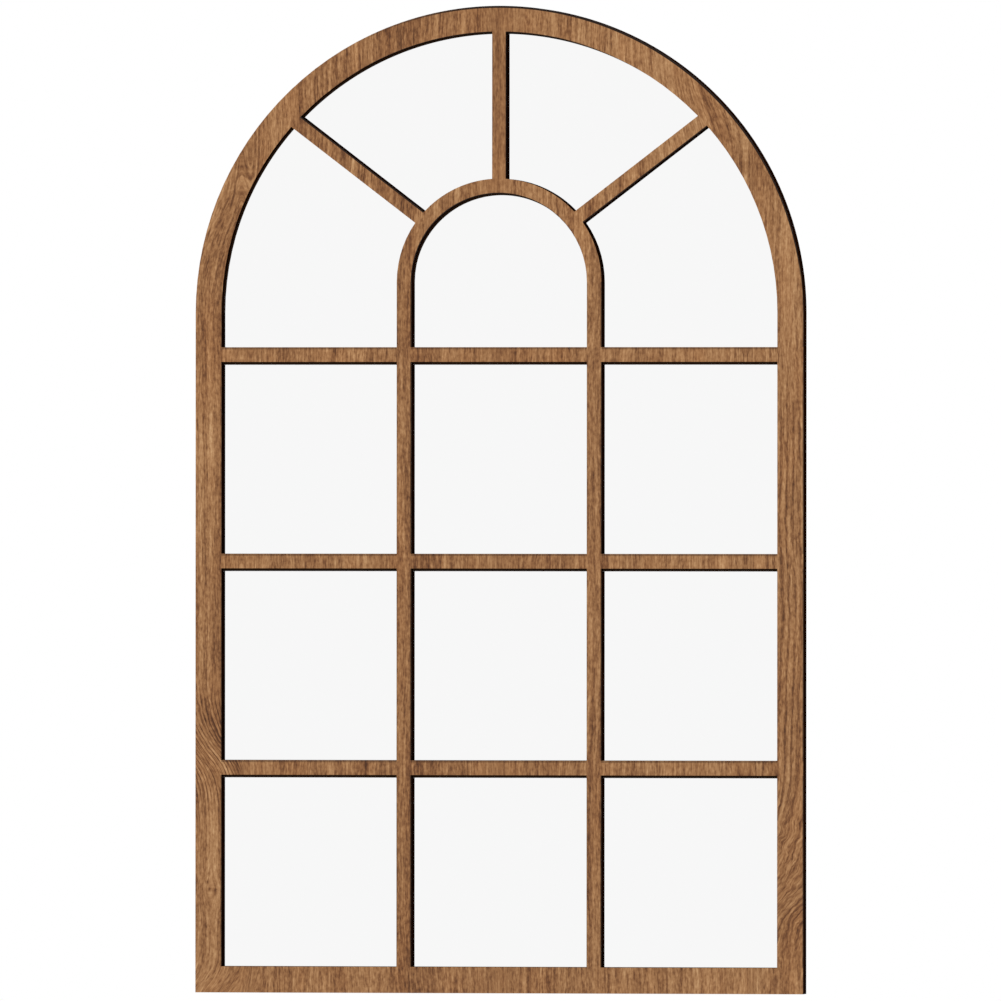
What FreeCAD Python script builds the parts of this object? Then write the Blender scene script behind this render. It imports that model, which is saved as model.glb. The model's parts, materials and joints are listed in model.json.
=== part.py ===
"""Arched window mirror: a wall mirror that looks like a round-headed sash window.

A rebated rim of three straight members and three arch segments carries a grille of halved bars,
an inner arch and three fanlight spokes.  One sheet of veneer covers the whole face.  The mirror
drops into the rebate from behind on two blocks, and a card, a backing board and eight turn
buttons hold it there.  Two strap hangers with loose D rings carry the weight on the wall.

Millimetres.  X runs to the right, Z runs up and the mirror faces -Y.  The origin lies on the wall
plane, below the middle of the bottom edge.  A "depth" is a distance forward from the wall.
"""
import FreeCAD
import Part
import Sketcher
import math
import os
import re

SIZES = {
    # outline of the rim
    "overall_width": 610,
    "rim_width": 26,
    "core_depth": 24.4,             # rim from back to front, without its veneer
    "rebate_width": 8.5,
    "rebate_depth": 12.5,
    "veneer_thickness": 0.6,
    "stand_off": 6,                 # gap between the wall and the back of the rim
    # grille
    "bar_width": 14.6,
    "spoke_width": 14,
    "pane_height": 190.8,           # the three lower rows
    "spring_rise": 34.3,            # top of the upper crossbar to the centre of the outer arch
    "fan_rise": 30.5,               # centre of the inner arch above that of the outer one
    "spoke_rise": 3,                # meeting point of the spokes above the inner arch's centre
    "spoke_tilt": 52.5,             # outer spokes, degrees from upright
    # joints in the wood
    "tenon_length": 6,
    "tenon_shoulder": 2.3,
    "tenon_thickness": 5,
    "socket_clearance": 0.1,
    "glue_space": 0.5,              # beyond the end of each tenon, dowel and tongue
    "dowel_diameter": 6,
    "dowel_length": 30,
    "dowel_spacing": 11,
    "ring_dowel_diameter": 4,
    "ring_dowel_length": 16,
    "dowel_clearance": 0.05,
    "tongue_length": 20,
    "tongue_width": 12,
    "tongue_thickness": 4,
    # mirror and what backs it
    "glass_thickness": 4,
    "glass_clearance": 1.5,
    "block_height": 2,
    "block_length": 30,
    "block_thickness": 3.6,
    "block_offset": 150,            # middle of the mirror to the middle of each block
    "card_thickness": 2,
    "card_margin": 6,
    "board_thickness": 6,
    "board_clearance": 1,
    # turn buttons
    "button_width": 10,
    "button_reach": 15,             # screw to the centre of the end that holds the board
    "button_tail": 3,
    "button_thickness": 1.5,
    "button_gap": 0.1,
    "pivot_clearance": 0.06,
    "button_low_height": 150,
    "button_high_height": 430,
    "button_tilt": 48,
    # screws
    "screw_diameter": 3.5,
    "screw_head_diameter": 6.8,
    "screw_head_top": 4.4,          # flat middle of the head
    "screw_head_height": 1.8,
    "screw_head_bevel": 1.1,
    "screw_grip": 12,               # length of shank in the wood
    "screw_point": 3,
    "recess_width": 0.9,
    "recess_span": 3.8,
    "recess_depth": 1.1,
    "thread_clearance": 0.05,
    # strap hangers and D rings
    "hanger_height": 600,           # bottom edge up to the ring's pivot
    "hanger_inset": 11.6,           # outer edge of the rim to the middle of the strap
    "strap_width": 11,
    "strap_thickness": 1.2,
    "strap_length": 39,
    "knuckle_radius": 2.58,
    "knuckle_lift": 2.9,            # back of the rim to the centre of the knuckle
    "knuckle_clearance": 0.08,
    "upper_hole_drop": 23.5,
    "lower_hole_drop": 33,
    "wire_diameter": 2.6,
    "ring_half_width": 9.5,
    "ring_corner": 3,
    "ring_straight": 6,             # pivot down to where the round end starts
    # wall bumpers
    "bumper_diameter": 12,
    "bumper_tip_diameter": 10,
    "bumper_height": 40,            # bottom edge up to the centre of each bumper
}

# Places and sizes that follow from the sizes above.
DERIVED = {
    "spring_height": "rim_width + 3 * (pane_height + bar_width) + spring_rise",
    "rim_outer": "overall_width / 2",
    "rim_inner": "rim_outer - rim_width",
    "rebate_edge": "rim_inner + rebate_width",
    "web_middle": "(rim_outer + rebate_edge) / 2",
    "rebate_bottom": "rim_width - rebate_width",
    "bar_depth": "core_depth - rebate_depth",
    "glass_face": "stand_off + rebate_depth",
    "core_face": "stand_off + core_depth",
    "pane_width": "(2 * rim_inner - 2 * bar_width) / 3",
    "muntin_offset": "(pane_width + bar_width) / 2",
    "hanger_offset": "rim_outer - hanger_inset",
    "ring_inner": "pane_width / 2",
    "ring_outer": "ring_inner + bar_width",
    "ring_middle": "ring_inner + bar_width / 2",
    "ring_height": "spring_height + fan_rise",
    "spoke_height": "ring_height + spoke_rise",
    "tenon_depth": "glass_face + (bar_depth - tenon_thickness) / 2",
    "knuckle_depth": "stand_off - knuckle_lift",
    "knuckle_bore": "wire_diameter / 2 + knuckle_clearance",
}

ARCH_PIECES = {"left": -1, "crown": 0, "right": 1}
ARCH_SPAN = 180 / len(ARCH_PIECES)                      # degrees of arch in each piece
ARCH_JOINTS = [ARCH_SPAN * number - 90 for number in range(len(ARCH_PIECES) + 1)]
SIDES = {"left": -1, "right": 1}
CROSSBARS = ("lower", "middle", "upper")
SPOKES = {"left": -1, "centre": 0, "right": 1}

document = FreeCAD.newDocument("arched_window_mirror")
sheet = document.addObject("Spreadsheet::Sheet", "Sizes")
for row, (alias, size) in enumerate(SIZES.items(), start=1):
    sheet.set(f"A{row}", alias)
    sheet.set(f"B{row}", str(size))
    sheet.setAlias(f"B{row}", alias)
document.recompute()

subparts = []


def formula(text):
    """Write a formula of size names as an expression on the sheet."""
    def swap(match):
        word = match.group(0)
        if word in DERIVED:
            return f"({formula(DERIVED[word])})"
        return f"Sizes.{word}" if word in SIZES else word
    return re.sub(r"[a-z_]+", swap, str(text))


def value(text):
    return float(sheet.evalExpression(formula(text)))


def bind(thing, path, text):
    thing.setExpression(path, formula(text))


def name_subpart(thing, label):
    thing.Label = label
    subparts.append(thing)
    return thing


# Sketches, their outlines and the features made from them

def new_body(name):
    return document.addObject("PartDesign::Body", name)


def new_sketch(body, plane="XZ_Plane", at=(0, 0), depth=0, turn=0):
    """A sketch on one of the body's planes, shifted by at, lifted by depth and turned."""
    sketch = body.newObject("Sketcher::SketchObject", f"{body.Name}_sketch")
    origin_plane = next(item for item in body.Origin.OriginFeatures if item.Role == plane)
    sketch.AttachmentSupport = [(origin_plane, "")]
    sketch.MapMode = "FlatFace"
    for axis, text in zip("xyz", (*at, depth)):
        bind(sketch, f"AttachmentOffset.Base.{axis}", text)
    bind(sketch, "AttachmentOffset.Rotation.Angle", turn)
    return sketch


def fix(sketch, kind, *where, text):
    """Add a constraint whose size is a formula."""
    number = sketch.addConstraint(Sketcher.Constraint(kind, *where, value(text)))
    bind(sketch, f"Constraints[{number}]", text)


def join(sketch, kind, *where):
    sketch.addConstraint(Sketcher.Constraint(kind, *where))


def fix_point(sketch, element, end, x, y):
    fix(sketch, "DistanceX", -1, 1, element, end, text=x)
    fix(sketch, "DistanceY", -1, 1, element, end, text=y)


def polygon(sketch, corners):
    points = [FreeCAD.Vector(value(x), value(y), 0) for x, y in corners]
    edges = [sketch.addGeometry(Part.LineSegment(start, end), False)
             for start, end in zip(points, points[1:] + points[:1])]
    for edge, following in zip(edges, edges[1:] + edges[:1]):
        join(sketch, "Coincident", edge, 2, following, 1)
    for edge, (x, y) in zip(edges, corners):
        fix_point(sketch, edge, 1, x, y)


def rectangle(sketch, left, right, low, high):
    polygon(sketch, [(left, low), (right, low), (right, high), (left, high)])


def circle(sketch, x, y, radius):
    centre = FreeCAD.Vector(value(x), value(y), 0)
    edge = sketch.addGeometry(Part.Circle(centre, FreeCAD.Vector(0, 0, 1), value(radius)), False)
    fix_point(sketch, edge, 3, x, y)
    fix(sketch, "Radius", edge, text=radius)


def add_arc(sketch, x, y, radius, start, end):
    """An arc about (x, y) between two angles in degrees; returns its number."""
    centre = FreeCAD.Vector(value(x), value(y), 0)
    whole = Part.Circle(centre, FreeCAD.Vector(0, 0, 1), value(radius))
    arc = Part.ArcOfCircle(whole, math.radians(start), math.radians(end))
    return sketch.addGeometry(arc, False)


def add_line(sketch, start, end):
    points = [FreeCAD.Vector(value(x), value(y), 0) for x, y in (start, end)]
    return sketch.addGeometry(Part.LineSegment(*points), False)


def arched_outline(sketch, radius, spring, bottom):
    """A round-headed window outline: a half circle on two uprights and a level bottom."""
    arc = add_arc(sketch, 0, spring, radius, 0, 180)
    left = add_line(sketch, (f"-({radius})", spring), (f"-({radius})", bottom))
    base = add_line(sketch, (f"-({radius})", bottom), (radius, bottom))
    right = add_line(sketch, (radius, bottom), (radius, spring))
    for one, two in (((arc, 2), (left, 1)), ((left, 2), (base, 1)),
                     ((base, 2), (right, 1)), ((right, 2), (arc, 1))):
        join(sketch, "Coincident", *one, *two)
    join(sketch, "Vertical", left)
    join(sketch, "Vertical", right)
    join(sketch, "Horizontal", base)
    join(sketch, "PointOnObject", arc, 3, -2)
    join(sketch, "Horizontal", arc, 3, arc, 1)
    fix(sketch, "Radius", arc, text=radius)
    fix(sketch, "DistanceY", -1, 1, arc, 3, text=spring)
    fix(sketch, "DistanceY", -1, 1, base, 1, text=bottom)


def half_ring(sketch, outer, inner):
    """The upper half of a flat ring about the sketch's origin."""
    arcs = [add_arc(sketch, 0, 0, radius, 0, 180) for radius in (outer, inner)]
    feet = [add_line(sketch, (f"{side} * ({inner})", 0), (f"{side} * ({outer})", 0))
            for side in (1, -1)]
    for arc, radius in zip(arcs, (outer, inner)):
        join(sketch, "Coincident", arc, 3, -1, 1)
        fix(sketch, "Radius", arc, text=radius)
    for end, foot in enumerate(feet, start=1):
        join(sketch, "Coincident", foot, 1, arcs[1], end)
        join(sketch, "Coincident", foot, 2, arcs[0], end)
        for arc in arcs:
            join(sketch, "PointOnObject", arc, end, -1)


def slot_outline(sketch, low, high, radius):
    """An upright slot: half circles about (0, low) and (0, high), joined by tangent lines."""
    top = add_arc(sketch, 0, high, radius, 0, 180)
    left = add_line(sketch, (f"-({radius})", high), (f"-({radius})", low))
    foot = add_arc(sketch, 0, low, radius, 180, 360)
    right = add_line(sketch, (radius, low), (radius, high))
    for one, two in (((top, 2), (left, 1)), ((left, 2), (foot, 1)),
                     ((foot, 2), (right, 1)), ((right, 2), (top, 1))):
        join(sketch, "Tangent", *one, *two)
    join(sketch, "Equal", top, foot)
    fix(sketch, "Radius", top, text=radius)
    for arc, height in ((top, high), (foot, low)):
        join(sketch, "PointOnObject", arc, 3, -2)
        fix(sketch, "DistanceY", -1, 1, arc, 3, text=height)


def pad(body, sketch, length, both_ways=False):
    """Thicken a sketch forward, or to both sides of its plane."""
    feature = body.newObject("PartDesign::Pad", f"{body.Name}_pad")
    feature.Profile = sketch
    feature.SideType = "Symmetric" if both_ways else "One side"
    bind(feature, "Length", length)
    sketch.Visibility = False
    return feature


def pocket(body, sketch, length, both_ways=False):
    """Cut a sketch forward out of the body, or to both sides of its plane."""
    feature = body.newObject("PartDesign::Pocket", f"{body.Name}_pocket")
    feature.Profile = sketch
    feature.SideType = "Symmetric" if both_ways else "One side"
    feature.Reversed = True
    bind(feature, "Length", length)
    sketch.Visibility = False
    return feature


def block(body, left, right, low, high, depth, length, make=pad, at=(0, 0), turn=0):
    """Add or cut a rectangular block, given in the front view."""
    sketch = new_sketch(body, at=at, depth=depth, turn=turn)
    rectangle(sketch, left, right, low, high)
    return make(body, sketch, length)


def turn_about(body, sketch, axis, angle, both_ways=False):
    feature = body.newObject("PartDesign::Revolution", f"{body.Name}_turning")
    feature.Profile = sketch
    feature.ReferenceAxis = (sketch, [axis])
    feature.Midplane = both_ways
    feature.Angle = angle
    sketch.Visibility = False
    return feature


def place(thing, x=0, y=0, z=0, tilt=0):
    """Put a thing at a point and lean it to the right by tilt degrees from upright."""
    # A rotation of nothing would forget its axis, so it starts at one degree.
    lean = FreeCAD.Rotation(FreeCAD.Vector(0, 1, 0), 1)
    thing.Placement = FreeCAD.Placement(FreeCAD.Vector(), lean)
    for axis, text in zip("xyz", (x, y, z)):
        bind(thing, f"Placement.Base.{axis}", text)
    bind(thing, "Placement.Rotation.Angle", tilt)
    return thing


def group(name, things):
    compound = document.addObject("Part::Compound", name)
    compound.Links = things
    return compound


def cut(base, tool, label):
    """The sub-part that is left when a tool has been cut from its blank."""
    result = document.addObject("Part::Cut", f"{label}_cut")
    result.Base = base
    result.Tool = tool
    return name_subpart(result, label)


# Joints in the wood: sockets are cut from the rim and from the inner arch as groups

def crossbar_middle(number):
    """Height of the centre line of a crossbar, counted from 0 at the bottom."""
    return f"rim_width + {number + 1} * pane_height + {number + 0.5} * bar_width"


def leaning_box(name, left, right, low, high, depth, length, x=0, z=0, tilt=0):
    """A box given in a front view that leans to the right by tilt about (x, z)."""
    box = document.addObject("Part::Box", name)
    bind(box, "Length", f"{right} - ({left})")
    bind(box, "Width", length)
    bind(box, "Height", f"{high} - ({low})")
    return place(box,
                 x=f"{x} + ({left}) * cos({tilt}) + ({low}) * sin({tilt})",
                 y=f"-({depth}) - ({length})",
                 z=f"{z} - ({left}) * sin({tilt}) + ({low}) * cos({tilt})",
                 tilt=tilt)


def tenon_socket(name, half_width, low, high, **lean):
    """A mortise that takes a bar's tenon with clearance, from low to high along the bar."""
    side = f"({half_width} - tenon_shoulder + socket_clearance)"
    return leaning_box(name, f"-{side}", side, low, high,
                       "tenon_depth - socket_clearance", "tenon_thickness + 2 * socket_clearance",
                       **lean)


def joint_peg(name, centre_height, tilt, radius, depth, peg_radius, length):
    """A cylinder across the joint of an arch at a tilt, half of it in each piece."""
    peg = document.addObject("Part::Cylinder", name)
    bind(peg, "Radius", peg_radius)
    bind(peg, "Height", length)
    return place(peg,
                 x=f"{radius} * sin({tilt}) - cos({tilt}) * ({length}) / 2",
                 y=f"-({depth})",
                 z=f"{centre_height} + {radius} * cos({tilt}) + sin({tilt}) * ({length}) / 2",
                 tilt=f"{tilt} + 90")


def rim_pegs(name, peg_radius, length):
    middle = "stand_off + core_depth / 2"
    return [joint_peg(f"{name}_{number}_{row}", "spring_height", tilt, "web_middle",
                      f"{middle} + {step} * dowel_spacing / 2", peg_radius, length)
            for number, tilt in enumerate(ARCH_JOINTS)
            for row, step in (("rear", -1), ("front", 1))]


def ring_pegs(name, peg_radius, length):
    return [joint_peg(f"{name}_{number}", "ring_height", tilt, "ring_middle",
                      "glass_face + bar_depth / 2", peg_radius, length)
            for number, tilt in enumerate(ARCH_JOINTS)]


def corner_tongues(name, clearance, glue_space):
    """Loose tongues across the two mitres, in the lip in front of the mirror."""
    along = f"(tongue_length / 2 + {glue_space})"
    across = f"(tongue_width / 2 + {glue_space})"
    return [leaning_box(f"{name}_{word}", f"-{across}", across, f"-{along}", along,
                        f"glass_face + (bar_depth - tongue_thickness) / 2 - {clearance}",
                        f"tongue_thickness + 2 * {clearance}",
                        x=f"{side} * (rim_outer - rim_width / 2)", z="rim_width / 2",
                        tilt=-45 * side)
            for word, side in SIDES.items()]


def along_spoke(tilt, radius, drop):
    """Meeting point of the spokes to a circle whose centre is below it by drop, along a spoke."""
    return f"(sqrt({radius} ^ 2 - ({drop} * sin({tilt})) ^ 2) - {drop} * cos({tilt}))"


def spoke_foot(tilt):
    """Meeting point of the spokes to the inner arch's outer edge."""
    return along_spoke(tilt, "ring_outer", "spoke_rise")


def spoke_reach(tilt):
    """Meeting point of the spokes to the rim's inner edge."""
    return along_spoke(tilt, "rim_inner", "(fan_rise + spoke_rise)")


def screw_spots(kind):
    """Where the screws of one kind go in: a name and the place in the front view."""
    if kind == "button":
        return [(f"{name}_screw", x, z) for name, x, z, _ in button_spots()]
    return [(f"{hole}_{word}_hanger_screw", f"{side} * hanger_offset",
             f"hanger_height - {hole}_hole_drop")
            for word, side in SIDES.items() for hole in ("upper", "lower")]


def button_spots():
    """Turn buttons: a name, the front-view place of the screw and the lean of the button."""
    spots = [("foot", "0", "rebate_bottom / 2", "0")]
    for height in ("low", "high"):
        for word, side in SIDES.items():
            spots.append((f"{height}_{word}", f"{side} * web_middle",
                          f"button_{height}_height", f"{-90 * side}"))
    for word, side in SPOKES.items():
        lean = f"{side} * button_tilt"
        spots.append((f"arch_{word}", f"web_middle * sin({lean})",
                      f"spring_height + web_middle * cos({lean})", f"{lean} + 180"))
    return spots


def make_rim_sockets():
    tools = rim_pegs("dowel_hole", "dowel_diameter / 2 + dowel_clearance",
                     "dowel_length + 2 * glue_space")
    tools += corner_tongues("tongue_slot", "socket_clearance", "glue_space")
    end = "rim_inner + tenon_length + glue_space"
    for number, word in enumerate(CROSSBARS):
        tools.append(tenon_socket(f"crossbar_{word}_mortises", "bar_width / 2", f"-({end})", end,
                                  z=crossbar_middle(number), tilt=90))
    for word, side in SIDES.items():
        tools.append(tenon_socket(f"muntin_{word}_mortise", "bar_width / 2",
                                  "rim_width - tenon_length - glue_space", "rim_width + glue_space",
                                  x=f"{side} * muntin_offset"))
    for name, x, z in screw_spots("button") + screw_spots("hanger"):
        pilot = document.addObject("Part::Cylinder", f"{name}_pilot")
        bind(pilot, "Radius", "screw_diameter / 2 + thread_clearance")
        bind(pilot, "Height", "screw_grip + glue_space")
        pilot.Placement.Rotation = FreeCAD.Rotation(FreeCAD.Vector(1, 0, 0), 90)
        for axis, text in zip("xyz", (x, "-stand_off", z)):
            bind(pilot, f"Placement.Base.{axis}", text)
        tools.append(pilot)
    return group("rim_sockets", tools + spoke_mortises)


def make_spoke_mortises():
    mortises = []
    for word, side in SPOKES.items():
        tilt = f"({side} * spoke_tilt)"
        mortises.append(tenon_socket(f"spoke_{word}_mortises", "spoke_width / 2",
                                     f"{spoke_foot(tilt)} - tenon_length - glue_space",
                                     f"{spoke_reach(tilt)} + tenon_length + glue_space",
                                     z="spoke_height", tilt=tilt))
    return mortises


spoke_mortises = make_spoke_mortises()
rim_sockets = make_rim_sockets()
ring_sockets = group("ring_sockets", spoke_mortises + ring_pegs(
    "ring_dowel_hole", "ring_dowel_diameter / 2 + dowel_clearance",
    "ring_dowel_length + 2 * glue_space"))


# Rim: L-shaped members, mitred below and butted on dowels at the arch

def straight_member(name, corners, rebate):
    """A rim member padded from its front view, with the rebate cut into its back."""
    body = new_body(f"{name}_blank")
    sketch = new_sketch(body, depth="stand_off")
    polygon(sketch, corners)
    pad(body, sketch, "core_depth")
    block(body, *rebate, "stand_off", "rebate_depth", make=pocket)
    return cut(body, rim_sockets, name)


def make_straight_members():
    for word, side in SIDES.items():
        outer = f"{side} * rim_outer"
        inner = f"{side} * rim_inner"
        straight_member(f"{word}_stile",
                        [(outer, 0), (outer, "spring_height"), (inner, "spring_height"),
                         (inner, "rim_width")],
                        (inner, f"{side} * rebate_edge", "rebate_bottom", "spring_height"))
    straight_member("bottom_rail",
                    [("-rim_outer", 0), ("rim_outer", 0), ("rim_inner", "rim_width"),
                     ("-rim_inner", "rim_width")],
                    ("-rebate_edge", "rebate_edge", "rebate_bottom", "rim_width"))


def arch_segment(name, profile, centre_height, tilt, sockets):
    """One piece of an arch: a profile of depths and radii, turned about the arch's centre."""
    body = new_body(f"{name}_blank")
    sketch = new_sketch(body, plane="YZ_Plane")
    polygon(sketch, [(f"-({depth})", radius) for depth, radius in profile])
    turn_about(body, sketch, "H_Axis", ARCH_SPAN, both_ways=True)
    place(body, z=centre_height, tilt=tilt)
    return cut(body, sockets, name)


def make_arches():
    rim_profile = [("stand_off", "rebate_edge"), ("stand_off", "rim_outer"),
                   ("core_face", "rim_outer"), ("core_face", "rim_inner"),
                   ("glass_face", "rim_inner"), ("glass_face", "rebate_edge")]
    ring_profile = [("glass_face", "ring_inner"), ("glass_face", "ring_outer"),
                    ("core_face", "ring_outer"), ("core_face", "ring_inner")]
    for word, step in ARCH_PIECES.items():
        tilt = step * ARCH_SPAN
        arch_segment(f"arch_{word}", rim_profile, "spring_height", tilt, rim_sockets)
        arch_segment(f"inner_arch_{word}", ring_profile, "ring_height", tilt, ring_sockets)


def make_pegs():
    name_subpart(group("rim_dowel_group", rim_pegs("dowel", "dowel_diameter / 2", "dowel_length")),
                 "rim_dowels")
    name_subpart(group("ring_dowel_group", ring_pegs(
        "ring_dowel", "ring_dowel_diameter / 2", "ring_dowel_length")), "inner_arch_dowels")
    name_subpart(group("tongue_group", corner_tongues("tongue", 0, 0)), "corner_tongues")


# Grille: bars halved into each other, with stub tenons in the rim and the inner arch

def make_crossbar(word, middle):
    body = new_body(f"crossbar_{word}_body")
    low = f"{middle} - bar_width / 2"
    high = f"{middle} + bar_width / 2"
    block(body, "-rim_inner", "rim_inner", low, high, "glass_face", "bar_depth")
    reach = "rim_inner + tenon_length"
    block(body, f"-({reach})", reach, f"{low} + tenon_shoulder", f"{high} - tenon_shoulder",
          "tenon_depth", "tenon_thickness")
    for side in SIDES.values():
        centre = f"{side} * muntin_offset"
        block(body, f"{centre} - bar_width / 2", f"{centre} + bar_width / 2", low, high,
              "glass_face", "bar_depth / 2", make=pocket)
    name_subpart(body, f"crossbar_{word}")


def make_muntin(word, side):
    body = new_body(f"muntin_{word}_blank")
    left = f"{side} * muntin_offset - bar_width / 2"
    right = f"{side} * muntin_offset + bar_width / 2"
    block(body, left, right, "rim_width", "ring_height", "glass_face", "bar_depth")
    block(body, f"{left} + tenon_shoulder", f"{right} - tenon_shoulder",
          "rim_width - tenon_length", "2 * rim_width", "tenon_depth", "tenon_thickness")
    for number in range(len(CROSSBARS)):
        middle = crossbar_middle(number)
        block(body, left, right, f"{middle} - bar_width / 2", f"{middle} + bar_width / 2",
              "glass_face + bar_depth / 2", "bar_depth / 2", make=pocket)
    cut(body, ring_sockets, f"muntin_{word}")


def make_spoke(word, side):
    """A spoke points at the spokes' meeting point, with its ends hollowed to fit both arches."""
    tilt = f"({side} * spoke_tilt)"
    body = new_body(f"spoke_{word}_body")
    block(body, "-spoke_width / 2", "spoke_width / 2", "ring_inner", "rim_outer",
          "glass_face", "bar_depth")
    heel = new_sketch(body, depth="glass_face",
                      at=(f"spoke_rise * sin({tilt})", f"-spoke_rise * cos({tilt})"))
    circle(heel, 0, 0, "ring_outer")
    pocket(body, heel, "bar_depth")
    # The toe is cut with a ring that starts at the rim's inner edge and takes in all beyond it.
    toe = new_sketch(body, depth="glass_face",
                     at=(f"(fan_rise + spoke_rise) * sin({tilt})",
                         f"-(fan_rise + spoke_rise) * cos({tilt})"))
    circle(toe, 0, 0, "rim_inner")
    circle(toe, 0, 0, "2 * rim_outer")
    pocket(body, toe, "bar_depth")
    block(body, "-spoke_width / 2 + tenon_shoulder", "spoke_width / 2 - tenon_shoulder",
          f"{spoke_foot(tilt)} - tenon_length", f"{spoke_reach(tilt)} + tenon_length",
          "tenon_depth", "tenon_thickness")
    place(body, z="spoke_height", tilt=tilt)
    name_subpart(body, f"spoke_{word}")


def make_grille():
    for number, word in enumerate(CROSSBARS):
        make_crossbar(word, crossbar_middle(number))
    for word, side in SIDES.items():
        make_muntin(word, side)
    for word, side in SPOKES.items():
        make_spoke(word, side)


def make_face_veneer():
    """One sheet over the rim and the grille, cut out at all fourteen panes."""
    body = new_body("face_veneer_body")
    sheet_at = ("core_face", "veneer_thickness")
    rim = new_sketch(body, depth="core_face")
    arched_outline(rim, "rim_outer", "spring_height", 0)
    arched_outline(rim, "rim_inner", "spring_height", "rim_width")
    pad(body, rim, "veneer_thickness")
    into_rim = "(rim_inner + rim_width / 2)"
    for number in range(len(CROSSBARS)):
        middle = crossbar_middle(number)
        block(body, f"-{into_rim}", into_rim, f"{middle} - bar_width / 2",
              f"{middle} + bar_width / 2", *sheet_at)
    for side in SIDES.values():
        centre = f"{side} * muntin_offset"
        block(body, f"{centre} - bar_width / 2", f"{centre} + bar_width / 2",
              "rim_width / 2", "ring_height", *sheet_at)
    ring = new_sketch(body, at=(0, "ring_height"), depth="core_face")
    half_ring(ring, "ring_outer", "ring_inner")
    pad(body, ring, "veneer_thickness")
    for side in SPOKES.values():
        tilt = f"({side} * spoke_tilt)"
        block(body, "-spoke_width / 2", "spoke_width / 2",
              along_spoke(tilt, "ring_middle", "spoke_rise"),
              f"{spoke_reach(tilt)} + rim_width / 2", *sheet_at,
              at=(0, "spoke_height"), turn=f"-{tilt}")
    name_subpart(body, "face_veneer")


# Mirror, card and board in the rebate

def arched_sheet(name, margin, bottom, depth, thickness):
    """A flat sheet with the rebate's outline, smaller by margin."""
    body = new_body(f"{name}_body")
    sketch = new_sketch(body, depth=depth)
    arched_outline(sketch, f"rebate_edge - {margin}", "spring_height", bottom)
    pad(body, sketch, thickness)
    name_subpart(body, name)


def make_mirror_pack():
    glass_back = "glass_face - glass_thickness"
    card_back = f"{glass_back} - card_thickness"
    glass_bottom = "rebate_bottom + block_height"
    arched_sheet("mirror_glass", "glass_clearance", glass_bottom, glass_back, "glass_thickness")
    arched_sheet("liner_card", "card_margin", "rebate_bottom + card_margin", card_back,
                 "card_thickness")
    arched_sheet("backing_board", "board_clearance", "rebate_bottom + board_clearance",
                 f"{card_back} - board_thickness", "board_thickness")
    blocks = [leaning_box(f"block_{word}", "-block_length / 2", "block_length / 2", "0",
                          "block_height", "glass_face - block_thickness", "block_thickness",
                          x=f"{side} * block_offset", z="rebate_bottom")
              for word, side in SIDES.items()]
    name_subpart(group("block_group", blocks), "setting_blocks")


# Hardware on the back

def make_turn_button(name, x, z, lean):
    body = new_body(f"turn_button_{name}_body")
    sketch = new_sketch(body, depth="stand_off - button_gap - button_thickness")
    slot_outline(sketch, "-button_tail", "button_reach", "button_width / 2")
    circle(sketch, 0, 0, "screw_diameter / 2 + pivot_clearance")
    pad(body, sketch, "button_thickness")
    place(body, x=x, z=z, tilt=lean)
    name_subpart(body, f"turn_button_{name}")


def make_screw(name, under_head):
    """A pan head wood screw along Y, with the seat of its head at the origin."""
    body = new_body(name)
    shank = f"(screw_grip + {under_head})"
    profile = new_sketch(body, plane="XY_Plane")
    polygon(profile, [(0, "screw_head_height"),
                      ("screw_head_top / 2", "screw_head_height"),
                      ("screw_head_diameter / 2", "screw_head_height - screw_head_bevel"),
                      ("screw_head_diameter / 2", 0), ("screw_diameter / 2", 0),
                      ("screw_diameter / 2", f"screw_point - {shank}"), (0, f"-{shank}")])
    turn_about(body, profile, "V_Axis", 360)
    for turn in (45, -45):
        block(body, "-recess_span / 2", "recess_span / 2", "-recess_width / 2", "recess_width / 2",
              "-screw_head_height", "recess_depth", make=pocket, turn=turn)
    return body


def make_screws():
    """One screw of each length, and a link to it at every place where it is driven."""
    under_heads = {"button": "2 * button_gap + button_thickness", "hanger": "strap_thickness"}
    for kind, under_head in under_heads.items():
        screw = make_screw(f"{kind}_screw", f"({under_head})")
        links = []
        for name, x, z in screw_spots(kind):
            link = document.addObject("App::Link", name)
            link.LinkedObject = screw
            for axis, text in zip("xyz", (x, f"{under_head} - stand_off", z)):
                bind(link, f"Placement.Base.{axis}", text)
            links.append(link)
        name_subpart(group(f"{kind}_screw_group", links), f"{kind}_screws")


def make_hanger(word, side):
    """A steel strap with a rolled knuckle at the top, about the ring's pivot."""
    body = new_body(f"hanger_{word}_body")
    strap = new_sketch(body, depth="stand_off - strap_thickness")
    slot_outline(strap, "strap_width / 2 - strap_length", "-strap_width / 2", "strap_width / 2")
    for hole in ("upper", "lower"):
        circle(strap, 0, f"-{hole}_hole_drop", "screw_diameter / 2 + thread_clearance")
    pad(body, strap, "strap_thickness")
    block(body, "-strap_width / 2", "strap_width / 2", "-strap_width", "0",
          "stand_off - strap_thickness", "strap_thickness")
    knuckle = new_sketch(body, plane="YZ_Plane")
    circle(knuckle, "-knuckle_depth", 0, "knuckle_radius")
    pad(body, knuckle, "strap_width", both_ways=True)
    bore = new_sketch(body, plane="YZ_Plane")
    circle(bore, "-knuckle_depth", 0, "knuckle_bore")
    pocket(body, bore, "strap_width", both_ways=True)
    place(body, x=f"{side} * hanger_offset", z="hanger_height")
    name_subpart(body, f"hanger_{word}")


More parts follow.
